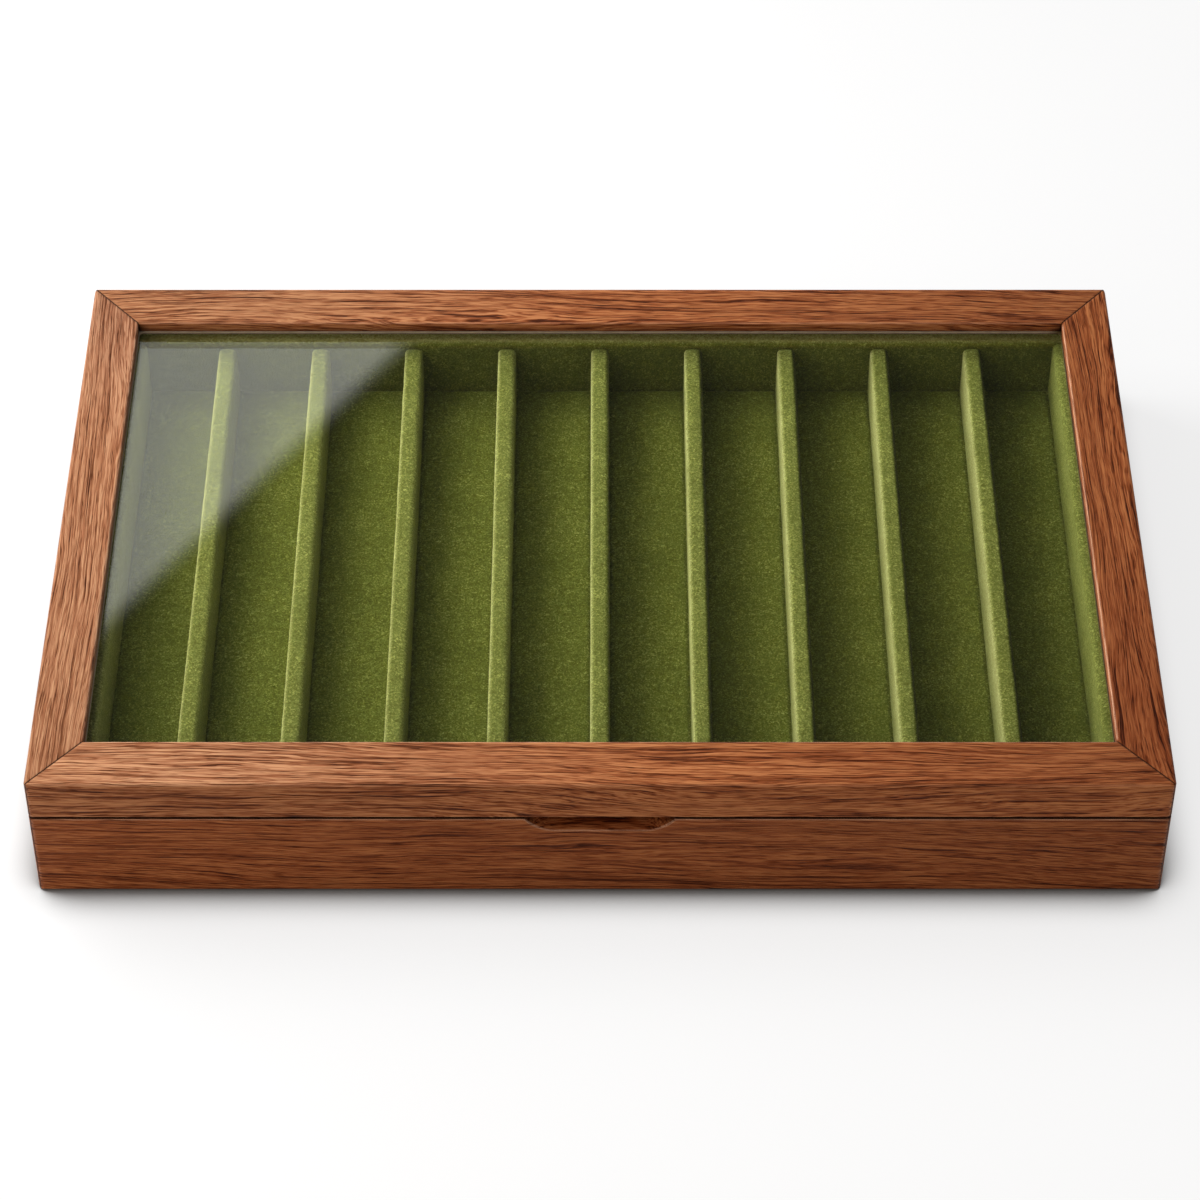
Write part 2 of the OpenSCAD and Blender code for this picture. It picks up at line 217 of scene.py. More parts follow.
panel_mesh = bpy.data.meshes.new("reflector")
corners = [(-PANEL_LENGTH / 2, -PANEL_DEPTH, 0), (PANEL_LENGTH / 2, -PANEL_DEPTH, 0),
           (PANEL_LENGTH / 2, PANEL_LIP, 0), (-PANEL_LENGTH / 2, PANEL_LIP, 0)]
panel_mesh.from_pydata(corners, [], [(0, 1, 2, 3)])
reflector = bpy.data.objects.new("reflector", panel_mesh)
bpy.context.scene.collection.objects.link(reflector)
reflector.location = PANEL_PLACE
facing = (AIM - PANEL_PLACE).to_track_quat("Z", "Y")
reflector.rotation_euler = (facing @ Quaternion((0, 0, 1), PANEL_LEAN)).to_euler()
reflector.visible_camera = False
reflector.visible_diffuse = False
reflector.visible_shadow = False
print("reflector at", [round(c, 2) for c in PANEL_PLACE])

# %% Reflector finish
lit, tree = finish_named("white reflector cloth")
spot = add(tree, "TexCoord")
across = add(tree, "SeparateXYZ", {0: spot.outputs["Object"]})
edge, full = PANEL_FADE
glow = add(tree, "MapRange", {"Value": across.outputs["Y"], "From Min": edge, "From Max": full,
                              "To Min": 0.0, "To Max": PANEL_GLOW}, interpolation_type="SMOOTHSTEP")
shine = add(tree, "Emission", {"Color": linear("#F8F9EE"), "Strength": glow})
clear = add(tree, "BsdfTransparent")
share = add(tree, "MapRange", {"Value": glow, "From Min": 0.0, "From Max": PANEL_GLOW})
add(tree, "OutputMaterial", {"Surface": add(tree, "MixShader", {0: share, 1: clear, 2: shine})})
reflector.data.materials.append(lit)
print("reflector glow:", PANEL_GLOW)

# %% [markdown]
# ## The floor
# The sweep is white paper. It is nearly white wherever the camera sees it, and it keeps the soft
# shadow at the front and right of the box and the dark line where the box stands. White paint alone
# would need so much light that the box would be bleached, so the paper glows a little and takes
# only a part of its light from the lamps. Glass and gloss see the same pale paper. It throws less
# light back onto the box than white paper would, because the front of the box is darker in the
# photograph.

# %% Floor
FLOOR_HALF = 3.0
PAPER_WHITE = 0.76
CONTACT_REACH = 0.018
CONTACT_DEPTH = 1.9
CONTACT_COVER = 0.52
SWEEP_FADE = (0.5, 1.6)
SHADOW_SHARE = 0.23
CONTACT_SAMPLES = 48
BOUNCE_PAPER = "#B0B0B0"

floor_mesh = bpy.data.meshes.new("paper_sweep")
corners = [(-FLOOR_HALF, -FLOOR_HALF, 0), (FLOOR_HALF, -FLOOR_HALF, 0),
           (FLOOR_HALF, FLOOR_HALF, 0), (-FLOOR_HALF, FLOOR_HALF, 0)]
floor_mesh.from_pydata(corners, [], [(0, 1, 2, 3)])
floor = bpy.data.objects.new("paper_sweep", floor_mesh)
bpy.context.scene.collection.objects.link(floor)
print("floor half width:", FLOOR_HALF, "m")

# %% Paper
paper, tree = finish_named("matt white background paper")
seen = add(tree, "LightPath")
direct = add(tree, "Math", {0: seen.outputs["Is Camera Ray"], 1: seen.outputs["Is Transmission Ray"]},
             operation="MAXIMUM")
direct = add(tree, "Math", {0: direct, 1: seen.outputs["Is Glossy Ray"]}, operation="MAXIMUM")
spot = add(tree, "TexCoord")
far = add(tree, "VectorMath", {0: spot.outputs["Object"]}, operation="LENGTH")
start, end = SWEEP_FADE
far = add(tree, "MapRange", {"Value": far.outputs["Value"], "From Min": start, "From Max": end},
          interpolation_type="SMOOTHSTEP")
# The glow is dimmed by ambient occlusion close to the box: a painted contact shadow.
open_sky = add(tree, "AmbientOcclusion", {"Distance": CONTACT_REACH}, samples=CONTACT_SAMPLES)
covered = add(tree, "MapRange", {"Value": open_sky.outputs["AO"], "From Min": 1.0,
                                 "From Max": CONTACT_COVER})
covered = add(tree, "Math", {0: covered, 1: CONTACT_DEPTH}, operation="POWER")
near_white = add(tree, "MapRange", {"Value": covered, "To Min": PAPER_WHITE, "To Max": 0.0})
glow = add(tree, "Mix", {"Factor": far, "A": near_white, "B": 1.0}, data_type="FLOAT")
lit_share = add(tree, "MapRange", {"Value": far, "To Min": SHADOW_SHARE, "To Max": 0.0})
lit_share = add(tree, "CombineColor", {0: lit_share, 1: lit_share, 2: lit_share})
shaded = add(tree, "BsdfDiffuse", {"Color": lit_share})
bright = add(tree, "Emission", {"Color": linear("#FFFFFF"), "Strength": glow})
pale = add(tree, "AddShader", {0: shaded, 1: bright})
matt = add(tree, "BsdfDiffuse", {"Color": linear(BOUNCE_PAPER)})
add(tree, "OutputMaterial", {"Surface": add(tree, "MixShader", {0: direct, 1: matt, 2: pale})})
floor.data.materials.append(paper)
print("paper:", PAPER_WHITE, "of white, contact shadow within", CONTACT_REACH / MM, "mm")

# %% [markdown]
# ## Walnut
# The boards are planed walnut under a satin oil. Walnut gets its look from five things: broad bands
# of lighter and darker growth, growth rings that darken slowly and end at a sharp line, dark streaks
# less than a millimetre wide, open pores that are cut into short dark strokes, and the hair of the
# fibres themselves. A picture of wood would stretch on the end grain and break at the edges. Wood
# is solid, so its pattern is made in three dimensions here and runs over the rounded edges as it
# does in a real board. Each board gets its own piece of the log, with its grain along its length.

# %% Grain sizes
# Every mark is a noise, drawn out along the fibres and along the growth rings: its length, its
# width and its depth along the ring in millimetres, how much finer detail it holds, and how strong
# that detail is. Marks that are deep show as long lines on every face.
WAVES = {
    "slow": (200.0, 34.0, 34.0, 1.0, 0.5),
    "quick": (44.0, 11.0, 11.0, 2.0, 0.5),
}
SLOW_BEND = 10.0
QUICK_BEND = 1.6
FIBRE_SLOPE = 0.02
MARKS = {
    "band": (150.0, 7.0, 26.0, 2.0, 0.5),
    "gap": (50.0, 3.0, 12.0, 1.0, 0.5),
    "streak": (48.0, 0.68, 4.0, 2.0, 0.6),
    "pore": (6.5, 0.30, 0.7, 1.0, 0.5),
    "hair": (17.0, 0.32, 1.2, 2.0, 0.75),
}
RING_PITCH = 3.8
print("wood marks:", len(WAVES) + len(MARKS), "sizes")

# %% [markdown]
# A board is cut from somewhere in a log. So a place on the board is first turned into a place in
# the log, whose fibres run along X. Then the fibres are bent by slow and quick waves, because a tree
# never grows straight. All the other marks follow the bent fibres.

# %% Fibres
def in_log(tree, board, grain, log_place):
    """A place on a board as a place in the log, in millimetres."""
    if grain == "Y":
        part = add(tree, "SeparateXYZ", {0: board})
        board = add(tree, "CombineXYZ", {0: part.outputs["Y"], 1: part.outputs["X"], 2: part.outputs["Z"]})
    return add(tree, "VectorMath", {0: board, 1: log_place}, operation="ADD")


def drawn_out(tree, place, sizes):
    """Noises of the given sizes, by name. Each is stretched to its length, width and depth."""
    found = {}
    for mark, (length, width, deep, detail, rough) in sizes.items():
        size = (1 / length, 1 / width, 1 / deep)
        size = add(tree, "VectorMath", {0: place, 1: size}, operation="MULTIPLY")
        found[mark] = add(tree, "TexNoise", {"Vector": size, "Scale": 1.0, "Detail": detail,
                                             "Roughness": rough})
    return found


def fibres(tree, log, slant):
    """Fibres in wavy sheets: a slope through the log, bent by slow and quick waves."""
    found = drawn_out(tree, log, WAVES)
    slow = add(tree, "MapRange", {"Value": found["slow"], "To Min": -SLOW_BEND, "To Max": SLOW_BEND})
    quick = add(tree, "MapRange", {"Value": found["quick"], "To Min": -QUICK_BEND, "To Max": QUICK_BEND})
    up_the_rings = (FIBRE_SLOPE, math.cos(slant), math.sin(slant))
    along_a_ring = (0.0, -math.sin(slant), math.cos(slant))
    slope = add(tree, "VectorMath", {0: log, 1: up_the_rings}, operation="DOT_PRODUCT")
    depth = add(tree, "VectorMath", {0: log, 1: along_a_ring}, operation="DOT_PRODUCT")
    bent = add(tree, "Math", {0: slope.outputs["Value"], 1: slow}, operation="ADD")
    bent = add(tree, "Math", {0: bent, 1: quick}, operation="ADD")
    along = add(tree, "SeparateXYZ", {0: log})
    fibre = add(tree, "CombineXYZ", {0: along.outputs["X"], 1: bent, 2: depth.outputs["Value"]})
    return found["slow"], bent, fibre


print("waves bend the fibres by", SLOW_BEND, "and", QUICK_BEND, "mm")

# %% [markdown]
# The marks are laid over one another. Each lightens or darkens a single value, which then picks a
# colour between the darkest and the palest brown. Mixing colours mark by mark would be more work
# and would turn muddy.

# %% Figure
HAIR_LIGHT, HAIR_BASE = 2.0, -0.46
MARK_LIGHT = {"band": 0.36, "late": -0.26, "streak": -0.50, "pore": -0.30}
WOOD_COLOURS = [(0.0, "#481C09"), (0.2, "#733717"), (0.5, "#9C542D"), (0.9, "#C57C4A")]

# Where a ring darkens and ends, as shares of its width. The others are the part of a noise, which
# runs from 0 to 1, that shows as a mark.
LATE_WOOD, RING_END = (0.45, 0.92), (1.0, 0.93)
RING_SHOWS = (0.40, 0.62)
MARK_SHOWS = {"streak": (0.50, 0.66), "pore": (0.54, 0.66)}


def figure(tree, bent, fibre, contrast):
    """The marks of the wood, and how light they leave it."""
    found = drawn_out(tree, fibre, MARKS)

    # A ring darkens towards its late wood and ends at a sharp line. It fades out along the board.
    ring = add(tree, "Math", {0: bent, 1: 1 / RING_PITCH, 2: found["band"]}, operation="MULTIPLY_ADD")
    ring = add(tree, "Math", {0: ring}, operation="FRACT")
    late = add(tree, "MapRange", {"Value": ring, "From Min": LATE_WOOD[0], "From Max": LATE_WOOD[1]})
    sharp = add(tree, "MapRange", {"Value": ring, "From Min": RING_END[0], "From Max": RING_END[1]})
    late = add(tree, "Math", {0: late, 1: sharp}, operation="MULTIPLY")
    start, end = RING_SHOWS
    kept = add(tree, "MapRange", {"Value": found["gap"], "From Min": start, "From Max": end})
    found["late"] = add(tree, "Math", {0: late, 1: kept}, operation="MULTIPLY")
    for mark, (start, end) in MARK_SHOWS.items():
        found[mark] = add(tree, "MapRange", {"Value": found[mark], "From Min": start, "From Max": end})

    light = add(tree, "Math", {0: found["hair"], 1: HAIR_LIGHT, 2: HAIR_BASE}, operation="MULTIPLY_ADD")
    for mark, weight in MARK_LIGHT.items():
        light = add(tree, "Math", {0: found[mark], 1: weight, 2: light}, operation="MULTIPLY_ADD")
    light = add(tree, "Math", {0: light, 1: contrast, 2: 0.5 - 0.5 * contrast}, operation="MULTIPLY_ADD")
    return found, light


print("wood colours:", [code for place, code in WOOD_COLOURS])

# %% [markdown]
# No board is evenly lit from end to end. Its colour is painted paler and whiter towards the left, where the
# light is close and leaves a sheen, and darker towards the right, where less light falls. This painted
# light and shade is stronger on the tops than on the sides.

# %% Painted light along a board
TURNS_UP = (0.4, 0.95)
UPRIGHT_SHARE = 0.30
END_WANDER = 60.0


def paint_light_along(tree, colour, board, grain, facing, slow, ends):
    """Paints light and shade onto a colour towards the ends of a board, most on its tops. The border
    wanders with the slow waves.
    """
    upwards = add(tree, "SeparateXYZ", {0: facing})
    upwards = add(tree, "MapRange", {"Value": upwards.outputs["Z"], "From Min": TURNS_UP[0],
                                     "From Max": TURNS_UP[1], "To Min": UPRIGHT_SHARE, "To Max": 1.0})
    wander = add(tree, "Math", {0: slow, 1: END_WANDER, 2: -END_WANDER / 2}, operation="MULTIPLY_ADD")
    reach = add(tree, "SeparateXYZ", {0: board})
    reach = add(tree, "Math", {0: reach.outputs[grain], 1: wander}, operation="ADD")
    # Each change is painted light or shade, in full on the tops and less on the sides.
    for start, end, change in ends:
        share = add(tree, "MapRange", {"Value": reach, "From Min": start, "From Max": end},
                    interpolation_type="SMOOTHSTEP")
        share = add(tree, "Math", {0: share, 1: upwards}, operation="MULTIPLY")
        colour = add(tree, "Mix", {"Factor": share, "A": colour, "B": change + (1.0,)}, data_type="RGBA",
                     blend_type="MULTIPLY")
    return colour


print("tones wander by", END_WANDER / 2, "mm")

# %% [markdown]
# Hands and cloths wear the edges that stand proud, and a highlight is painted on them too, so they are
# painted pale, most on the pale fibres. The inner corners and narrow gaps are darkened with painted shade.
# The edges could be found by hand, but the shader knows them: the Bevel node shows where the surface turns,
# and Ambient Occlusion where it is closed in.

# %% Wear, painted highlight and painted shade
# The rounding of the edges and the reach of the painted shade, in metres. At the foot of the case, a height
# in millimetres, there is neither. The pairs say where a face counts as turned, as pale and as open.
EDGE_WEAR = 0.0013
CORNER_REACH = 0.0044
FOOT_HEIGHT = (7.0, 4.0)
EDGE_TURNED = (0.96, 0.82)
PALE_FIBRE, DARK_FIBRE_SHARE = (0.25, 0.70), 0.35
OPEN_AND_UNSHADED, OPEN_TO_HANDS = (0.42, 0.86), (0.30, 0.55)
WEAR_AND_HIGHLIGHT_COLOUR = "#E6B291"
PAINTED_SHADE_COLOUR = "#1E0D06"


def wear_highlight_and_shade(tree, board, facing, light):
    """How much wear and painted highlight each point gets, and how free of painted shade it is."""
    facing = add(tree, "VectorMath", {0: facing}, operation="ABSOLUTE")
    facing = add(tree, "SeparateXYZ", {0: facing})
    square = add(tree, "Math", {0: facing.outputs["X"], 1: facing.outputs["Y"]}, operation="MAXIMUM")
    square = add(tree, "Math", {0: square, 1: facing.outputs["Z"]}, operation="MAXIMUM")
    # Pale edges: partly wear, partly a painted highlight.
    wear_and_highlight = add(tree, "MapRange", {"Value": square, "From Min": EDGE_TURNED[0], "From Max": EDGE_TURNED[1]})
    rubbed_and_lit = add(tree, "MapRange", {"Value": light, "From Min": PALE_FIBRE[0], "From Max": PALE_FIBRE[1],
                                    "To Min": DARK_FIBRE_SHARE, "To Max": 1.0})
    wear_and_highlight = add(tree, "Math", {0: wear_and_highlight, 1: rubbed_and_lit}, operation="MULTIPLY")
    # Painted shade where the surface is closed in: inner corners and narrow gaps.
    nook = add(tree, "AmbientOcclusion", {"Distance": CORNER_REACH}, samples=8)
    start, end = OPEN_AND_UNSHADED
    unshaded = add(tree, "MapRange", {"Value": nook.outputs["AO"], "From Min": start, "From Max": end})
    start, end = OPEN_TO_HANDS
    reached = add(tree, "MapRange", {"Value": nook.outputs["AO"], "From Min": start, "From Max": end})
    tall = add(tree, "SeparateXYZ", {0: board})
    at_foot = add(tree, "MapRange", {"Value": tall.outputs["Z"], "From Min": FOOT_HEIGHT[0],
                                     "From Max": FOOT_HEIGHT[1]})
    unshaded = add(tree, "Math", {0: unshaded, 1: at_foot}, operation="MAXIMUM")
    lifted = add(tree, "Math", {0: 1.0, 1: at_foot}, operation="SUBTRACT")
    wear_and_highlight = add(tree, "Math", {0: wear_and_highlight, 1: reached}, operation="MULTIPLY")
    wear_and_highlight = add(tree, "Math", {0: wear_and_highlight, 1: lifted}, operation="MULTIPLY")
    return wear_and_highlight, unshaded


print("edges worn round by", EDGE_WEAR / MM, "mm")

# %% [markdown]
# The corners are mitred, and the glue line shows as a dark hair a third of a millimetre wide. It is drawn
# as a colour, because the boards really touch there. The pale edges, partly wear and partly a painted
# highlight, spare the joint. They are light on the outer edges, and strongest along the inner edge by the
# glass, where they are mostly a painted highlight.

# %% Mitred corners
# A mitre is how far the rails run in X and Y, and how far in from the outer faces its worn edges
# reach, all in millimetres.
LID_MITRE = (17.0, 19.0, 2.2)
CASE_MITRE = (1.0, 1.0, 0.8)
LIP_HIGHLIGHT_AND_WEAR = (-3.0, -1.5)
GLUE_LINE = (0.36, 0.12)
GLUE_SHARE = 0.9
HIGHLIGHT_AND_WEAR_BESIDE_GLUE = (0.5, 1.4)
GLUE_COLOUR = "#2A150B"
OUTER_CORNER = (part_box("case_right_wall")[1].x / MM, -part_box("case_front_wall")[0].y / MM, 0)


def mitred(tree, board, colour, wear_and_highlight, mitre, highlight_and_wear_shares):
    """Draws the glue line of a mitred corner, and keeps the wear and painted highlight to its outer and
    inner edges.
    """
    run, rise, rim = mitre
    outside, inside = highlight_and_wear_shares
    size = math.hypot(run, rise)
    corner = add(tree, "VectorMath", {0: board}, operation="ABSOLUTE")
    corner = add(tree, "VectorMath", {0: OUTER_CORNER, 1: corner}, operation="SUBTRACT")
    off = add(tree, "VectorMath", {0: corner, 1: (rise / size, -run / size, 0)}, operation="DOT_PRODUCT")
    off = add(tree, "Math", {0: off.outputs["Value"]}, operation="ABSOLUTE")
    joint = add(tree, "MapRange", {"Value": off, "From Min": GLUE_LINE[0], "From Max": GLUE_LINE[1],
                                   "To Max": GLUE_SHARE})
    colour = add(tree, "Mix", {"Factor": joint, "A": colour, "B": linear(GLUE_COLOUR)}, data_type="RGBA")
    apart = add(tree, "MapRange", {"Value": off, "From Min": HIGHLIGHT_AND_WEAR_BESIDE_GLUE[0],
                                   "From Max": HIGHLIGHT_AND_WEAR_BESIDE_GLUE[1]})
    wear_and_highlight = add(tree, "Math", {0: wear_and_highlight, 1: apart}, operation="MULTIPLY")
    inwards = add(tree, "SeparateXYZ", {0: corner})
    inwards = add(tree, "Math", {0: inwards.outputs["X"], 1: inwards.outputs["Y"]}, operation="MINIMUM")
    rubbed_and_lit = add(tree, "MapRange", {"Value": inwards, "From Min": rim, "From Max": rim * 0.7,
                                    "To Max": outside})
    # The inner edge of the lid along the glass gets the strongest painted highlight.
    if mitre == LID_MITRE:
        lip = add(tree, "VectorMath", {0: corner, 1: (run, rise, 0)}, operation="SUBTRACT")
        lip = add(tree, "SeparateXYZ", {0: lip})
        lip = add(tree, "Math", {0: lip.outputs["X"], 1: lip.outputs["Y"]}, operation="MINIMUM")
        lip = add(tree, "MapRange", {"Value": lip, "From Min": LIP_HIGHLIGHT_AND_WEAR[0], "From Max": LIP_HIGHLIGHT_AND_WEAR[1],
                                     "To Max": inside})
        rubbed_and_lit = add(tree, "Math", {0: rubbed_and_lit, 1: lip}, operation="MAXIMUM")
    wear_and_highlight = add(tree, "Math", {0: wear_and_highlight, 1: rubbed_and_lit}, operation="MULTIPLY")
    return colour, wear_and_highlight


print("outer corner of the box:", [round(v, 2) for v in OUTER_CORNER[:2]], "mm")

# %% [markdown]
# The steps come together in one finish. Worn edges are smoother, and open pores rougher. Pores and
# streaks are cut into the surface by a bump, since they are too shallow to model. The oil lies thin
# over open fibres, so the wood mirrors little, and what it mirrors is warm.

# %% Walnut
ROUGH_OILED, ROUGH_WORN = 0.50, 0.36
PORE_ROUGHER = 0.15
STREAK_CUT = 0.7
CUT_DEPTH = 0.0003


def walnut(name, grain, log_place, slant, mitre, highlight_and_wear_shares, contrast, tint, ends):
    """One board of oiled walnut. All lengths in it are in millimetres."""
    material, tree = finish_named(name)
    here = add(tree, "TexCoord")
    board = add(tree, "VectorMath", {0: here.outputs["Object"], 1: TO_MM}, operation="MULTIPLY")
    slow, bent, fibre = fibres(tree, in_log(tree, board, grain, log_place), slant)
    found, light = figure(tree, bent, fibre, contrast)
    colour = add(tree, "ValToRGB", {"Fac": light}, stops=WOOD_COLOURS)
    colour = add(tree, "Mix", {"Factor": 1.0, "A": colour, "B": tint + (1.0,)}, data_type="RGBA",
                 blend_type="MULTIPLY")

    shape = add(tree, "Bevel", {"Radius": EDGE_WEAR}, samples=6)
    facing = add(tree, "VectorTransform", {0: shape}, vector_type="NORMAL", convert_from="WORLD",
                 convert_to="OBJECT")
    colour = paint_light_along(tree, colour, board, grain, facing, slow, ends)
    wear_and_highlight, unshaded = wear_highlight_and_shade(tree, board, facing, light)
    if mitre:
        colour, wear_and_highlight = mitred(tree, board, colour, wear_and_highlight, mitre, highlight_and_wear_shares)
    # Edges are painted pale: partly wear, partly a painted highlight.
    colour = add(tree, "Mix", {"Factor": wear_and_highlight, "A": colour, "B": linear(WEAR_AND_HIGHLIGHT_COLOUR)}, data_type="RGBA")
    # Inner corners and narrow gaps are painted dark: painted shade.
    colour = add(tree, "Mix", {"Factor": unshaded, "A": linear(PAINTED_SHADE_COLOUR), "B": colour}, data_type="RGBA")

    rough = add(tree, "MapRange", {"Value": wear_and_highlight, "From Min": 0.0, "From Max": 0.75,
                                   "To Min": ROUGH_OILED, "To Max": ROUGH_WORN})
    rough = add(tree, "Math", {0: found["pore"], 1: PORE_ROUGHER, 2: rough}, operation="MULTIPLY_ADD")
    relief = add(tree, "Math", {0: found["pore"], 1: -1.0, 2: found["hair"]}, operation="MULTIPLY_ADD")
    relief = add(tree, "Math", {0: found["streak"], 1: -STREAK_CUT, 2: relief}, operation="MULTIPLY_ADD")
    cut = add(tree, "Bump", {"Height": relief, "Strength": 0.6, "Distance": CUT_DEPTH, "Normal": shape})
    wood = add(tree, "BsdfPrincipled", {"Base Color": colour, "Roughness": rough, "Normal": cut,
                                        "Specular IOR Level": 0.12, "Specular Tint": linear("#FFEBD2")})
    add(tree, "OutputMaterial", {"Surface": wood})
    return material


print("walnut roughness:", ROUGH_OILED, "oiled,", ROUGH_WORN, "wear_and_highlight")

# %% [markdown]
# Each row is one board: its node, the axis its grain runs along, its place in the log, how steeply the
# rings stand in it, its mitre, its pale edges outside and inside (wear and painted highlight), its
# contrast, its tint, and the painted light and shade along it, in millimetres. The tints are partly each
# board's own tone and partly painted light: the lid's left rail, next to the light, is tinted whiter, and
# its right rail darker. The boards at the back and under the glass are guessed.

# %% Boards
BOARDS = [
    ("lid_front_rail", "X", (40, 12, 5), 0.55, LID_MITRE, (0.12, 0.9), 1.10, (1.03, 1.08, 1.15),
     [(60, -150, (1.00, 1.33, 1.88)), (10, 130, (0.80, 0.74, 0.71))]),
    ("lid_back_rail", "X", (420, 90, 31), 0.80, LID_MITRE, (0.08, 0.25), 1.15, (0.86, 0.88, 0.92),
     [(20, -150, (0.87, 1.12, 1.48)), (30, 150, (0.87, 0.84, 0.81))]),
    ("lid_left_rail", "Y", (910, 40, 77), 0.60, LID_MITRE, (0.08, 0.4), 0.85, (0.88, 1.25, 1.90),
     [(10, 110, (0.84, 0.85, 0.92))]),
    ("lid_right_rail", "Y", (1450, 20, 92), 0.45, LID_MITRE, (0.05, 0.9), 0.95, (0.87, 0.83, 0.81),
     [(30, -70, (0.76, 0.68, 0.66))]),
    ("case_front_wall", "X", (2050, 20, 50), 0.95, CASE_MITRE, (0.75, 0.0), 0.92, (0.83, 0.79, 0.77),
     [(-20, -150, (1.42, 1.42, 1.44)), (40, 160, (0.76, 0.72, 0.70))]),
    ("case_back_wall", "X", (2600, 65, 9), 1.00, CASE_MITRE, (0.3, 0.0), 0.80, (0.86, 0.85, 0.84), []),
    ("case_left_wall", "Y", (3100, 15, 60), 0.95, CASE_MITRE, (0.3, 0.0), 0.80, (0.86, 0.92, 1.02), []),
    ("case_right_wall", "Y", (3700, 55, 22), 1.00, CASE_MITRE, (0.3, 0.0), 0.80, (0.86, 0.85, 0.84), []),
    ("glazing_bead_front", "X", (4200, 5, 3), 0.7, None, (0.0, 0.0), 1.0, (0.9, 0.9, 0.9), []),
    ("glazing_bead_back", "X", (4700, 5, 8), 0.7, None, (0.0, 0.0), 1.0, (0.9, 0.9, 0.9), []),
    ("glazing_bead_left", "Y", (5200, 5, 4), 0.7, None, (0.0, 0.0), 1.0, (0.9, 0.9, 0.9), []),
    ("glazing_bead_right", "Y", (5700, 5, 6), 0.7, None, (0.0, 0.0), 1.0, (0.9, 0.9, 0.9), []),
]
for node, *traits in BOARDS:
    dress([node], walnut("oiled_walnut_" + node, *traits))
print("walnut boards:", len(BOARDS))

# %% [markdown]
# ## Glass
# The lid holds a pane of clear float glass, which is poured on molten tin and so is dead flat and
# perfectly smooth. It bends and mirrors light as real glass does, from its refractive index alone.
# Lamps shine straight through it, which keeps the velvet below evenly lit without caustics.

# %% Float glass
GLASS_IOR = 1.5
glass, tree = finish_named("clear float glass")
rays = add(tree, "LightPath")
pane = add(tree, "BsdfPrincipled", {"Base Color": linear("#FBFFFD"), "Roughness": 0.0, "IOR": GLASS_IOR,
                                    "Transmission Weight": 1.0})
passing = add(tree, "BsdfTransparent", {"Color": linear("#F8FCF9")})
seen = add(tree, "MixShader", {0: rays.outputs["Is Shadow Ray"], 1: pane, 2: passing})
add(tree, "OutputMaterial", {"Surface": seen})
dress(["glass_panel"], glass)
print("glass: refractive index", GLASS_IOR)

# %% [markdown]
# A thin bead of grey silicone beds the glass under the rails. A sliver of it shows as a pale line along the
# inner edge of the lid. Along the right rail it is painted a dark brown, which stands in for the shade of
# the rail over it. The bead is a solid already, so a skin of two greys is enough.

# %% Silicone bead
# A dimple in the skin every 2.5 mm.
SKIN_PER_METRE = 400.0
RIGHT_SIDE = (0.158, 0.162)
silicone, tree = finish_named("grey silicone sealant")
here = add(tree, "TexCoord")
skin = add(tree, "TexNoise", {"Vector": here.outputs["Object"], "Scale": SKIN_PER_METRE, "Detail": 2.0})
shade = add(tree, "ValToRGB", {"Fac": skin}, stops=[(0.3, "#8C7A65"), (0.7, "#9E8C76")])
side = add(tree, "SeparateXYZ", {0: here.outputs["Object"]})
# Painted shade: from here to the right the bead is painted dark brown.
deep = add(tree, "MapRange", {"Value": side.outputs["X"], "From Min": RIGHT_SIDE[0],
                              "From Max": RIGHT_SIDE[1]})
shade = add(tree, "Mix", {"Factor": deep, "A": shade, "B": linear("#4C3C20")}, data_type="RGBA")
soft = add(tree, "Bump", {"Height": skin, "Strength": 0.2, "Distance": 0.0001})
add(tree, "OutputMaterial", {"Surface": add(tree, "BsdfPrincipled", {
    "Base Color": shade, "Roughness": 0.45, "IOR": 1.41, "Normal": soft})})
dress(["glazing_seal"], silicone)
print("silicone turns brown from X =", RIGHT_SIDE[0], "m")

# %% [markdown]
# ## Brass
# The hinges, pins, screws and brads are brass. Its surface is brushed along the barrel and has gone
# slightly brown in patches. The brush lines are a noise drawn out along X, and they change both the
# roughness and the bump, which is what gives brushed metal its long, soft highlights.

# %% Brass
# Brush lines 8 mm long and a quarter of a millimetre wide, and brown patches 4 mm across.
BRUSH_PER_METRE = (120, 4000, 4000)
PATINA_PER_METRE = 260.0
EASED_EDGE = 0.00025
brass, tree = finish_named("brushed brass")
here = add(tree, "TexCoord")
lines = add(tree, "VectorMath", {0: here.outputs["Object"], 1: BRUSH_PER_METRE}, operation="MULTIPLY")
brushed = add(tree, "TexNoise", {"Vector": lines, "Scale": 1.0, "Detail": 3.0})
patina = add(tree, "TexNoise", {"Vector": here.outputs["Object"], "Scale": PATINA_PER_METRE, "Detail": 3.0})
shade = add(tree, "ValToRGB", {"Fac": patina}, stops=[(0.35, "#B08A45"), (0.65, "#D9B668")])
dull = add(tree, "MapRange", {"Value": brushed, "To Min": 0.22, "To Max": 0.42})
eased = add(tree, "Bevel", {"Radius": EASED_EDGE}, samples=4)
scored = add(tree, "Bump", {"Height": brushed, "Strength": 0.25, "Distance": 0.00005, "Normal": eased})
add(tree, "OutputMaterial", {"Surface": add(tree, "BsdfPrincipled", {
    "Base Color": shade, "Metallic": 1.0, "Roughness": dull, "Normal": scored})})
fittings = ["hinge_left_case_leaf", "hinge_right_case_leaf", "hinge_left_lid_leaf", "hinge_right_lid_leaf",
            "hinge_left_pin", "hinge_right_pin", "case_hinge_screws", "lid_hinge_screws", "glazing_brads"]
dress(fittings, brass)
print("brass nodes:", len(fittings))

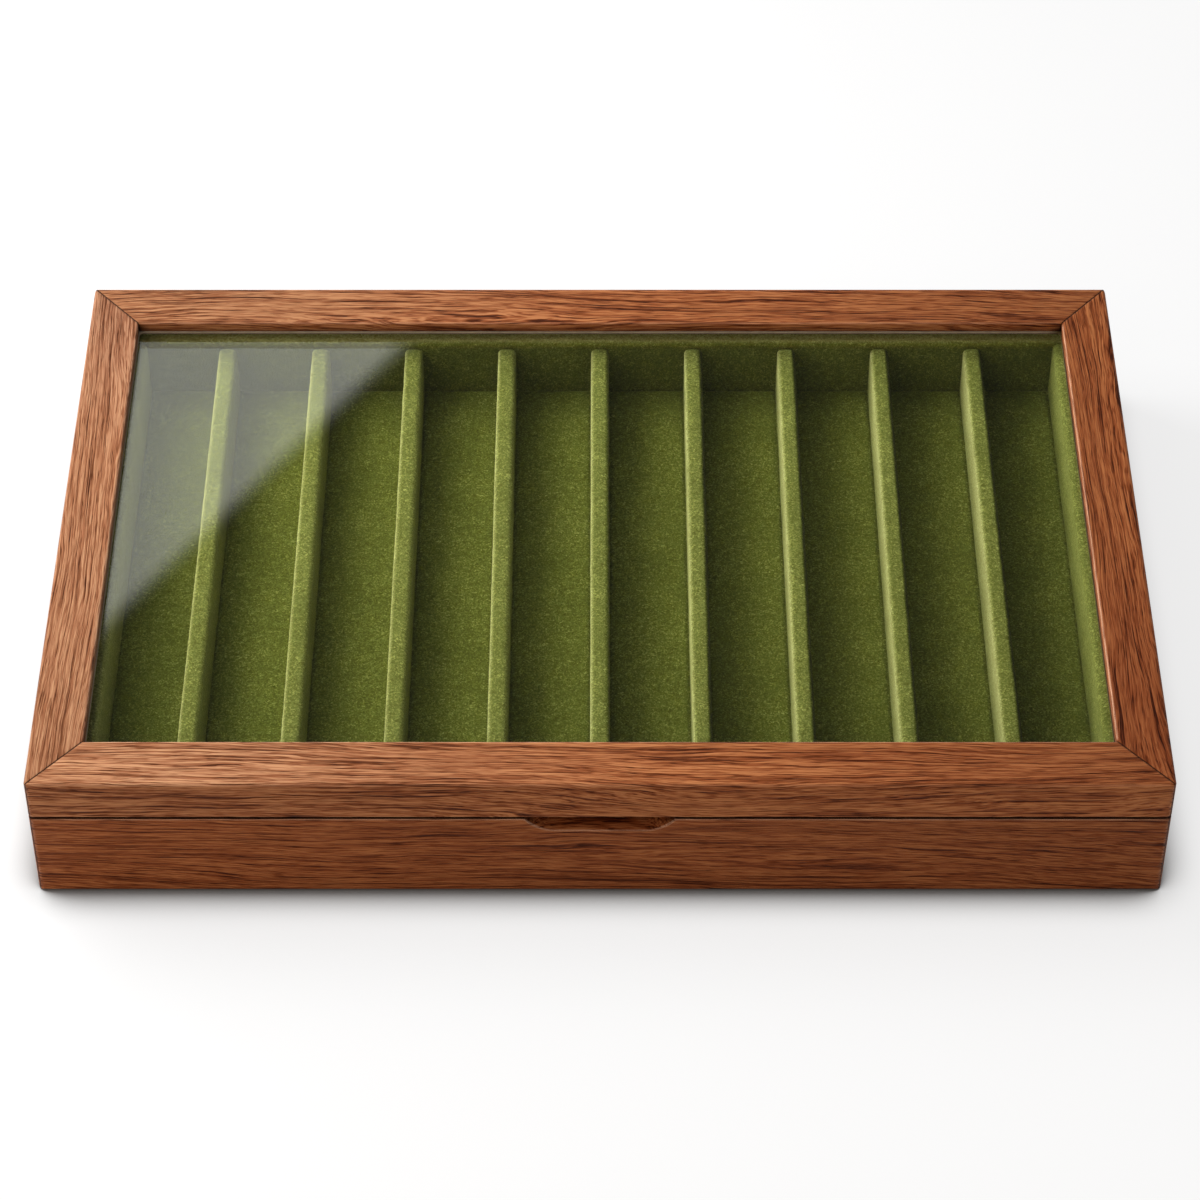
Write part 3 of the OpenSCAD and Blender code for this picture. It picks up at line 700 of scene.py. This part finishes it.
# %% [markdown]
# ## Plywood and board
# The bottom of the case is birch plywood, peeled from the log, so it is pale with a wavy figure and
# a fine brown fleck. The board under the tray is grey bookbinder's board, pressed from paper pulp.
# Both are hidden when the box stands on its feet, so one noise or two is enough for each.

# %% Plywood
# A figure 70 mm long and 3 mm wide, and flecks 4 mm long and half a millimetre wide.
VENEER_PER_METRE = (14, 300, 300)
FLECKS_PER_METRE = (240, 2200, 2200)
plywood, tree = finish_named("birch plywood")
here = add(tree, "TexCoord")
lines = add(tree, "VectorMath", {0: here.outputs["Object"], 1: VENEER_PER_METRE}, operation="MULTIPLY")
veneer = add(tree, "TexNoise", {"Vector": lines, "Scale": 1.0, "Detail": 4.0, "Distortion": 0.6})
flecks = add(tree, "VectorMath", {0: here.outputs["Object"], 1: FLECKS_PER_METRE}, operation="MULTIPLY")
fleck = add(tree, "TexNoise", {"Vector": flecks, "Scale": 1.0, "Detail": 1.0})
fleck = add(tree, "MapRange", {"Value": fleck, "From Min": 0.62, "From Max": 0.74, "To Max": 0.5})
shade = add(tree, "ValToRGB", {"Fac": veneer}, stops=[(0.3, "#C9A573"), (0.7, "#E0C397")])
shade = add(tree, "Mix", {"Factor": fleck, "A": shade, "B": linear("#8F6A3F")}, data_type="RGBA")
fine = add(tree, "Bump", {"Height": veneer, "Strength": 0.3, "Distance": 0.0002})
add(tree, "OutputMaterial", {"Surface": add(tree, "BsdfPrincipled", {
    "Base Color": shade, "Roughness": 0.6, "Normal": fine})})
dress(["bottom_panel"], plywood)
print("plywood: bottom_panel")

# %% Greyboard
# Clumps of pulp about a millimetre across.
PULP_PER_METRE = 900.0
greyboard, tree = finish_named("pressed greyboard")
here = add(tree, "TexCoord")
pulp = add(tree, "TexNoise", {"Vector": here.outputs["Object"], "Scale": PULP_PER_METRE, "Detail": 5.0})
shade = add(tree, "ValToRGB", {"Fac": pulp}, stops=[(0.35, "#767067"), (0.65, "#958E83")])
fine = add(tree, "Bump", {"Height": pulp, "Strength": 0.3, "Distance": 0.0001})
add(tree, "OutputMaterial", {"Surface": add(tree, "BsdfPrincipled", {
    "Base Color": shade, "Roughness": 0.9, "Normal": fine})})
dress(["insert_board"], greyboard)
print("greyboard: insert_board")

# %% [markdown]
# ## Velvet
# The tray is covered in olive green cotton velvet, woven with a cut pile. The pile stands up about a
# millimetre and leans in small curls, so the colour breaks into light and dark specks of 0.6 to
# 1.2 mm. Hair could stand for the pile, but it would be millions of strands and could not be handed
# on as a mesh. Two noises of that size do instead. They set both the colour and the bump. Tips of
# pile that lean over an edge catch the light, which is the work of the sheen.

# %% Velvet pile
CURLS_PER_MM, TIPS_PER_MM = 0.85, 1.7
BRUSHED_PER_MM, HUE_PER_MM = 0.055, 0.3
velvet, tree = finish_named("olive cotton velvet")
here = add(tree, "TexCoord")
pile = add(tree, "VectorMath", {0: here.outputs["Object"], 1: TO_MM}, operation="MULTIPLY")
curls = add(tree, "TexNoise", {"Vector": pile, "Scale": CURLS_PER_MM, "Detail": 3.0, "Roughness": 0.62,
                               "Distortion": 1.4})
tips = add(tree, "TexNoise", {"Vector": pile, "Scale": TIPS_PER_MM, "Detail": 3.0, "Roughness": 0.7})
brushed = add(tree, "TexNoise", {"Vector": pile, "Scale": BRUSHED_PER_MM, "Detail": 2.0})
speck = add(tree, "Mix", {"Factor": 0.5, "A": curls, "B": tips}, data_type="FLOAT")
speck = add(tree, "Math", {0: brushed, 1: 0.10, 2: speck}, operation="MULTIPLY_ADD")
shade = add(tree, "ValToRGB", {"Fac": speck},
            stops=[(0.43, "#4B4E13"), (0.55, "#646724"), (0.63, "#86883C"), (0.71, "#AEAF62")])
hue = add(tree, "TexNoise", {"Vector": pile, "Scale": HUE_PER_MM, "Detail": 2.0})
hue = add(tree, "MapRange", {"Value": hue, "From Min": 0.35, "From Max": 0.65, "To Max": 0.35})
shade = add(tree, "Mix", {"Factor": hue, "A": shade, "B": linear("#586021")}, data_type="RGBA")
print("velvet speck:", round(1 / TIPS_PER_MM, 1), "to", round(1 / CURLS_PER_MM, 1), "mm")

# %% [markdown]
# The cloth is painted darker at the left and paler at the right, which evens out the fall of the light
# across the tray. Pale highlights are painted on parts of the cloth, most on the edges and faces that turn
# towards the light, and painted shade on faces turned away from it. A second cloth could be made for each,
# but the meshes carry a value per point instead: how much painted highlight the point gets, and below
# nothing how much painted shade.

# %% Velvet: painted light and shade
# Painted light: the cloth is painted from darker at the left to paler at the right, against the fall of the
# light across the tray.
TRAY_ENDS = (-0.15, 0.15)
PAINTED_LIGHT_ACROSS = (0.90, 1.14)
painted_across = add(tree, "SeparateXYZ", {0: here.outputs["Object"]})
painted_across = add(tree, "MapRange", {"Value": painted_across.outputs["X"], "From Min": TRAY_ENDS[0], "From Max": TRAY_ENDS[1],
                             "To Min": PAINTED_LIGHT_ACROSS[0], "To Max": PAINTED_LIGHT_ACROSS[1]})
painted_across = add(tree, "CombineColor", {0: painted_across, 1: painted_across, 2: painted_across})
shade = add(tree, "Mix", {"Factor": 1.0, "A": shade, "B": painted_across}, data_type="RGBA", blend_type="MULTIPLY")

# A painted highlight where the value is above nothing, painted shade where it is below.
painted_light_and_shade = add(tree, "Attribute", attribute_name="painted_light_and_shade")
painted_shade_share = add(tree, "MapRange", {"Value": painted_light_and_shade.outputs["Fac"], "From Min": 0.0, "From Max": -1.0})
pale = add(tree, "ValToRGB", {"Fac": speck}, stops=[(0.45, "#A59D5A"), (0.66, "#E4DD9D")])
shade = add(tree, "Mix", {"Factor": painted_light_and_shade.outputs["Fac"], "A": shade, "B": pale}, data_type="RGBA")
shade = add(tree, "Mix", {"Factor": painted_shade_share, "A": shade, "B": linear("#1A1C08")}, data_type="RGBA")

nap = add(tree, "Bump", {"Height": speck, "Strength": 0.8, "Distance": 0.0009})
add(tree, "OutputMaterial", {"Surface": add(tree, "BsdfPrincipled", {
    "Base Color": shade, "Roughness": 0.95, "Specular IOR Level": 0.12, "Normal": nap,
    "Sheen Weight": 0.27, "Sheen Roughness": 0.35, "Sheen Tint": linear("#DCD97C")})})
print("velvet nap:", PAINTED_LIGHT_ACROSS[0], "at the left to", PAINTED_LIGHT_ACROSS[1], "at the right")

# %% [markdown]
# ## Padded strips
# The dividers and the linings are boards wrapped in thin wadding and velvet. A bevelled box would have the
# right size but dead straight edges, and a cloth simulation would be hard to repeat. So each is a strip
# with a section that is round at its top edges and slightly crowned. Beside its place, each point of the
# section says how much painted highlight the cloth gets there, and below nothing how much painted shade.

# %% Section of a strip
ARC_STEPS = 7
FACE_STEPS = 12
TOP_STEPS = 6


def strip_section(left, right, low, high, left_round, right_round, crown, painted_light_shares=(0.0, 0.0, 0.0, 0.0, 1.0)):
    """Points (across, up, painted light and shade) round a section.

    painted light shares: left face, left edge, top, right face, and how fast it turns at the right edge.
    """
    left_lit, edge_lit, top_lit, right_lit, turn = painted_light_shares
    points = []
    for t in range(FACE_STEPS + 1):
        up = low + (high - left_round - low) * t / FACE_STEPS
        points.append((left, up, left_lit * (0.5 + 0.5 * t / FACE_STEPS)))
    for t in range(1, ARC_STEPS + 1):
        a = math.pi * (1 - t / (2 * ARC_STEPS))
        turned = t / ARC_STEPS
        side = left_lit if turned < 0.5 else top_lit
        opened = side + (edge_lit - side) * (1 - abs(2 * turned - 1)) ** 2
        across, up = left + left_round, high - left_round
        points.append((across + left_round * math.cos(a), up + left_round * math.sin(a), opened))
    flat = right - right_round - left - left_round
    for t in range(1, TOP_STEPS):
        points.append((left + left_round + flat * t / TOP_STEPS, high, top_lit))
    for t in range(ARC_STEPS + 1):
        a = math.pi / 2 * (1 - t / ARC_STEPS)
        opened = top_lit + (right_lit - top_lit) * min(1.0, turn * t / ARC_STEPS)
        across, up = right - right_round, high - right_round
        points.append((across + right_round * math.cos(a), up + right_round * math.sin(a), opened))
    for t in range(1, FACE_STEPS + 1):
        up = high - right_round - (high - right_round - low) * t / FACE_STEPS
        points.append((right, up, right_lit * (1 - 0.5 * t / FACE_STEPS)))
    middle, half = (left + right) / 2, (right - left) / 2
    return [(a, z + (crown * (1 - ((a - middle) / half) ** 2) - crown) * (z - low) / (high - low), f)
            for a, z, f in points]


print("points round a section:", len(strip_section(0, 6, 0, 20, 1.5, 1.5, 0.25)))

# %% [markdown]
# Every soft piece is made from plain points and faces, smoothed, and dressed in its cloth. It then takes
# the place of a plain CAD solid, which is hidden, and follows the case. The solid stays as what the physics
# model knows, so the soft piece keeps to the solid's space.

# %% Soft pieces
def soft_piece(name, points, faces, finish=None):
    """Makes a smooth mesh from points in millimetres, with its faces turned outwards."""
    mesh = bpy.data.meshes.new(name)
    mesh.from_pydata([Vector(p) * MM for p in points], [], faces)
    work = bmesh.new()
    work.from_mesh(mesh)
    bmesh.ops.recalc_face_normals(work, faces=work.faces)
    work.to_mesh(mesh)
    work.free()
    mesh.shade_smooth()
    mesh.materials.append(finish or velvet)
    obj = bpy.data.objects.new(name, mesh)
    bpy.context.scene.collection.objects.link(obj)
    return obj


def upholster(obj, node):
    """Parents a soft piece to the case and hides the CAD node that it stands for."""
    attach(obj, "case")
    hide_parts(node)


SOFT = ("divider", "lining", "floor_pad", "foam_bed", "foot_pads")
print("soft nodes to replace:", sum(node.startswith(SOFT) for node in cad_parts))

# %% [markdown]
# A strip is lofted along its length a millimetre at a time. It draws in at its ends, where the cloth
# is folded. Its surface wanders by a tenth of a millimetre in small puckers and in one slow sway,
# because cloth is never dead straight.

# %% Loft
NAP = 0.10
END_STEPS = (0.0, 0.12, 0.35, 0.7, 1.1)
PUCKER = (3.5, 3.0, 3.5)
SWAY = (28, 20)
SWAY_SHARE = 0.8


def padded_strip(name, section, start, end, place, end_round, seed):
    """Lofts a section from start to end, in millimetres. place turns along, across and up to a point."""
    middle = sum(a for a, z, f in section) / len(section)
    low = min(z for a, z, f in section)
    high = max(z for a, z, f in section)
    count = round(end - start)
    stations = {float(i) for i in range(2, count - 1)}
    stations = sorted(stations | set(END_STEPS) | {count - s for s in END_STEPS})
    points, faces = [], []
    for s in stations:
        from_end = min(s, count - s)
        tuck = max(0.0, 1 - from_end / end_round)
        shrink = end_round * (1 - math.sqrt(max(0.0, 1 - tuck * tuck)))
        along = start + (end - start) * s / count
        for a, z, f in section:
            squeeze = 1 - shrink / max(abs(section[0][0] - middle), 0.1)
            across = middle + (a - middle) * squeeze
            up_share = (z - low) / (high - low)
            up = z - shrink * up_share
            spot = Vector((along / PUCKER[0], across / PUCKER[1], up / PUCKER[2]))
            shift = noise.noise(spot + Vector((seed * 7.3, seed, 0)))
            shift += noise.noise(Vector((along / SWAY[0], seed * 3.1, up / SWAY[1]))) * SWAY_SHARE
            wander = NAP * shift * min(1.0, from_end / 2 + 0.2)
            across += wander * (1 if a > middle else -1)
            up -= abs(wander) * up_share
            points.append(place(along, across, up))
    ring = len(section)
    for i in range(len(stations) - 1):
        for j in range(ring):
            k = (j + 1) % ring
            faces.append((i * ring + j, i * ring + k, (i + 1) * ring + k, (i + 1) * ring + j))
    faces.append(tuple(range(ring)))
    faces.append(tuple(reversed(range((len(stations) - 1) * ring, len(stations) * ring))))
    strip = soft_piece(name, points, faces)
    painted_light_shares = strip.data.attributes.new("painted_light_and_shade", "FLOAT", "POINT")
    painted_light_shares.data.foreach_set("value", [f for s in stations for a, z, f in section])
    return strip


print("cloth wanders by", NAP, "mm")

# %% [markdown]
# The nine dividers stand on the floor of the tray. A pale highlight is painted along their left edges and
# faces, which face the light. From the middle of the box on, painted shade darkens their right faces.

# %% Dividers
DIVIDERS = 9
DIVIDER_EDGE, DIVIDER_CROWN, DIVIDER_END = 1.5, 0.25, 1.2
DIVIDER_SUNK, DIVIDER_PLAY = 0.4, 0.05
DIVIDER_PAINTED_LIGHT = (0.62, 0.36, 0.06)
RIGHT_PAINTED_LIGHT, RIGHT_PAINTED_SHADE = 0.05, -0.9
SHADE_FROM_DIVIDER, SHADE_FULL_AT_DIVIDER = 4, 6
for i in range(1, DIVIDERS + 1):
    node = f"divider_{i}"
    low, high = (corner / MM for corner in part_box(node))
    # From the fifth divider on, painted shade darkens the right faces, in full from the sixth.
    dark = min(1.0, max(0.0, (i - SHADE_FROM_DIVIDER) / (SHADE_FULL_AT_DIVIDER - SHADE_FROM_DIVIDER)))
    painted_light_shares = DIVIDER_PAINTED_LIGHT + (RIGHT_PAINTED_LIGHT + RIGHT_PAINTED_SHADE * dark, 1.0 + 2.0 * dark)
    section = strip_section(low.x, high.x, low.z - DIVIDER_SUNK, high.z, DIVIDER_EDGE, DIVIDER_EDGE,
                            DIVIDER_CROWN, painted_light_shares)
    strip = padded_strip(f"velvet_divider_{i}", section, low.y + DIVIDER_PLAY, high.y - DIVIDER_PLAY,
                         lambda along, across, up: (across, along, up), DIVIDER_END, i)
    upholster(strip, node)
print("dividers:", DIVIDERS, "of", len(strip.data.vertices), "points")

# %% [markdown]
# The four linings are the same kind of strip. The front and back ones run from wall to wall, and
# the side ones fit between them. Each is rounder on the side that faces the tray. The section is
# measured inwards from the wall, so one loop makes all four.

# %% Linings
LINING_BACK_ROUND = 1.2
LINING_FACE_ROUND = 2.0
LINING_CROWN, LINING_END, LINING_PLAY = 0.2, 0.8, 0.02
LINING_SEED = 20
# Painted highlight on each lining's faces, edge and top, and painted shade below nothing. The back one is
# painted pale on top, where the rail shades it.
LINING_PAINTED_LIGHT = {
    "front": (0.0, 0.0, 0.0, 0.0, 1.0),
    "back": (0.0, 0.2, 0.55, -0.38, 1.0),
    "left": (0.0, 0.2, 0.25, 0.22, 1.0),
    "right": (0.0, 0.0, 0.06, 0.10, 1.0),
}
for n, (side, painted_light_shares) in enumerate(LINING_PAINTED_LIGHT.items()):
    node = f"lining_{side}"
    low, high = (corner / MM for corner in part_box(node))
    run, depth = (0, 1) if side in ("front", "back") else (1, 0)
    outer, into = (low[depth], 1) if side in ("front", "left") else (high[depth], -1)
    section = strip_section(0.0, high[depth] - low[depth], low.z, high.z, LINING_BACK_ROUND,
                            LINING_FACE_ROUND, LINING_CROWN, painted_light_shares)

    def place(along, across, up):
        point = [0, 0, up]
        point[run], point[depth] = along, outer + into * across
        return point

    strip = padded_strip(f"velvet_lining_{side}", section, low[run] + LINING_PLAY, high[run] - LINING_PLAY,
                         place, LINING_END, LINING_SEED + n)
    upholster(strip, node)
print("linings:", len(LINING_PAINTED_LIGHT))

# %% [markdown]
# The floor of the tray is one sheet of padded velvet under the dividers. It is soft, so it rises a
# little between them and rolls down into the crease along each side. A height for each point of a
# grid gives just that. The grid is fine along the creases and coarser between them.

# %% Tray floor
low, high = (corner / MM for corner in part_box("floor_pad"))
STEPS_IN = (0.0, 0.25, 0.55, 0.95, 1.5, 2.4)
GRID = 1.8
CREASE, CREASE_WIDTH = 0.55, 0.7
PUFF = 0.05


def fine_steps(start, end, step):
    """Places from start to end, close together at both ends."""
    inner = [start + s for s in STEPS_IN] + [end - s for s in STEPS_IN]
    first, last = start + STEPS_IN[-1], end - STEPS_IN[-1]
    count = max(1, round((last - first) / step))
    inner += [first + (last - first) * i / count for i in range(1, count)]
    return sorted(set(round(v, 4) for v in inner))


edges = [low.x]
for i in range(1, DIVIDERS + 1):
    d_low, d_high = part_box(f"divider_{i}")
    edges += [d_low.x / MM, d_high.x / MM]
edges.append(high.x)
columns = []
for i in range(0, len(edges), 2):
    columns += fine_steps(edges[i], edges[i + 1], GRID)
columns = sorted(set(columns))
rows = fine_steps(low.y, high.y, GRID)
print("columns:", len(columns), "rows:", len(rows))

# %% [markdown]
# The height falls into the crease along a smooth curve, and rises and sinks a tenth of a millimetre
# in between, as wadding does. The sheet is closed below and round its rim, so that it is a solid.

# %% Height of the tray floor
def floor_height(x, y):
    """The top of the sheet: level under a divider, crowned in a compartment, down in the crease."""
    cell = next((i for i in range(0, len(edges), 2) if edges[i] <= x <= edges[i + 1]), None)
    if cell is None:
        return high.z - CREASE
    near = min(x - edges[cell], edges[cell + 1] - x, y - low.y, high.y - y)
    rise = 0.12 * noise.noise(Vector((x / 9, y / 11, 4.0)))
    rise += 0.05 * noise.noise(Vector((x / 3, y / 3, 9.0)))
    return high.z + PUFF - CREASE * math.exp(-(near / CREASE_WIDTH) ** 2) + rise * min(1.0, near / 3)


points = [(x, y, floor_height(x, y)) for y in rows for x in columns]
points += [(x, y, low.z) for y in rows for x in columns]
wide, deep = len(columns), len(rows)
under = wide * deep
faces = []
for r in range(deep - 1):
    for c in range(wide - 1):
        a = r * wide + c
        faces.append((a, a + 1, a + wide + 1, a + wide))
        faces.append((under + a, under + a + wide, under + a + wide + 1, under + a + 1))
rim = list(range(wide)) + [r * wide + wide - 1 for r in range(1, deep)]
rim += [(deep - 1) * wide + c for c in range(wide - 2, -1, -1)] + [r * wide for r in range(deep - 2, 0, -1)]
for a, b in zip(rim, rim[1:] + rim[:1]):
    faces.append((a, under + a, under + b, b))
tray_floor = soft_piece("velvet_floor", points, faces)
upholster(tray_floor, "floor_pad")
print("tray floor:", wide, "by", deep, "points")

# %% [markdown]
# ## Foam and felt
# A sheet of foam under the tray keeps it pressed against the linings. It is a strip as well, only
# wide and flat, so the loft makes it. Its open cells are drawn by a cell pattern 0.7 mm across.

# %% Foam bed
CELLS_PER_METRE = 1400.0
FOAM_EDGE, FOAM_END, FOAM_SEED = 1.0, 0.8, 31
foam, tree = finish_named("cream polyether foam")
here = add(tree, "TexCoord")
cells = add(tree, "TexVoronoi", {"Vector": here.outputs["Object"], "Scale": CELLS_PER_METRE})
shade = add(tree, "ValToRGB", {"Fac": cells.outputs["Distance"]},
            stops=[(0.1, "#E4DCC2"), (0.6, "#BDB394")])
open_cells = add(tree, "Bump", {"Height": cells.outputs["Distance"], "Strength": 0.6, "Distance": 0.0004})
add(tree, "OutputMaterial", {"Surface": add(tree, "BsdfPrincipled", {
    "Base Color": shade, "Roughness": 0.95, "Normal": open_cells})})
low, high = (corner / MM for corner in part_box("foam_bed"))
section = strip_section(low.y, high.y, low.z, high.z, FOAM_EDGE, FOAM_EDGE, 0.0)
bed = padded_strip("foam_sheet", section, low.x, high.x, lambda along, across, up: (along, across, up),
                   FOAM_END, FOAM_SEED)
bed.data.materials[0] = foam
upholster(bed, "foam_bed")
print("foam:", [round(v, 1) for v in high - low], "mm")

# %% [markdown]
# Four felt discs, punched from a thin sheet of pressed wool, keep the box off the table. Each is a
# profile turned about its own axis. Its rim is slightly uneven, because a punch tears the wool.

# %% Felt
# Tufts of wool about three quarters of a millimetre across.
TUFTS_PER_METRE = 1300.0
felt, tree = finish_named("brown wool felt")
here = add(tree, "TexCoord")
wool = add(tree, "TexNoise", {"Vector": here.outputs["Object"], "Scale": TUFTS_PER_METRE, "Detail": 4.0,
                              "Distortion": 2.0})
shade = add(tree, "ValToRGB", {"Fac": wool}, stops=[(0.35, "#2E241D"), (0.65, "#4C3D31")])
matted = add(tree, "Bump", {"Height": wool, "Strength": 0.7, "Distance": 0.0003})
add(tree, "OutputMaterial", {"Surface": add(tree, "BsdfPrincipled", {
    "Base Color": shade, "Roughness": 0.95, "Normal": matted, "Sheen Weight": 0.3})})
print("felt: pressed wool")

# %% Felt feet
low, high = (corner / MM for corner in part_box("foot_pads"))
FOOT = 4.8
TALL = high.z - low.z
AROUND = 48
RAGGED = 0.12
RIM = 0.5
rim_shape = [(0.0, 0.0), (FOOT - 0.9, 0.0), (FOOT - 0.3, 0.0), (FOOT - 0.08, 0.15 * TALL),
             (FOOT, 0.45 * TALL), (FOOT - 0.02, 0.75 * TALL), (FOOT - 0.1, TALL), (FOOT - 0.9, TALL),
             (0.0, TALL)]
points, faces = [], []
for x in (low.x + FOOT, high.x - FOOT):
    for y in (low.y + FOOT, high.y - FOOT):
        base = len(points)
        for r, z in rim_shape:
            for k in range(AROUND if r else 1):
                a = 2 * math.pi * k / AROUND
                tear = noise.noise(Vector((6 * math.cos(a) + x, 6 * math.sin(a) + y, z)))
                out = r - abs(RAGGED * tear) * (r > FOOT - RIM)
                points.append((x + out * math.cos(a), y + out * math.sin(a), z))
        rings = [base + 1 + i * AROUND for i in range(len(rim_shape) - 2)]
        last = base + 1 + (len(rim_shape) - 2) * AROUND
        for k in range(AROUND):
            n = (k + 1) % AROUND
            faces.append((base, rings[0] + k, rings[0] + n))
            faces.append((last, rings[-1] + n, rings[-1] + k))
            for a, b in zip(rings, rings[1:]):
                faces.append((a + k, b + k, b + n, a + n))
feet = soft_piece("felt_feet", points, faces, felt)
upholster(feet, "foot_pads")
print("felt feet: 4")
